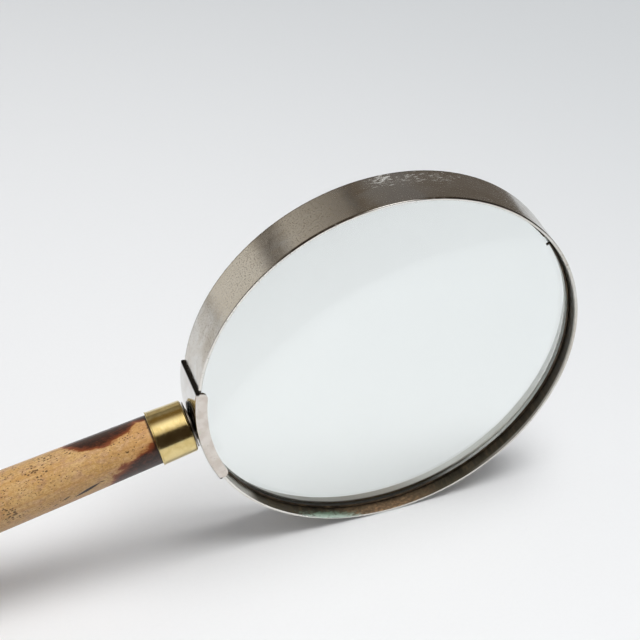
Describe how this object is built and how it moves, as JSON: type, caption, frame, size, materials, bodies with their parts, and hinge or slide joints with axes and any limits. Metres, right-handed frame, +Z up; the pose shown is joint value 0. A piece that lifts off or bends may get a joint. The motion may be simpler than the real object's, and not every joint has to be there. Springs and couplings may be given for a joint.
{
  "type": "magnifying glass",
  "caption": "Large hand magnifier: a biconvex lens held in a flat nickelled metal rim, with a saddle plate, brass ferrule and bamboo handle.",
  "frame": {"origin": "centre of the whole object's footprint, on the surface it stands on", "axes": "+Z up; the lens axis is along Y and the side that holds the retaining ring faces -Y; the handle runs towards -X and slopes down to the surface"},
  "size_m": [0.2974, 0.0186, 0.112],
  "materials": {
    "lens_glass": "clear polished optical glass, ground edge",
    "nickel_plate": "worn, lightly pitted nickel plate on sheet brass",
    "spring_wire": "drawn wire, darkened with age",
    "plain_steel": "plain turned steel",
    "ferrule_brass": "drawn brass, polished, with fine turning marks and a rolled lip",
    "hardwood": "plain dowel",
    "bamboo": "lacquered, with dark flame marks and specks"
  },
  "bodies": {
    "root": {"lens": "lens_glass", "rim_band": "nickel_plate", "front_retaining_ring": "spring_wire", "rear_seat_ring": "nickel_plate", "saddle": "nickel_plate", "handle_stud": "plain_steel", "spacer_washer": "nickel_plate", "ferrule": "ferrule_brass", "handle_plug": "hardwood", "bamboo_handle": "bamboo"}
  },
  "joints": []
}
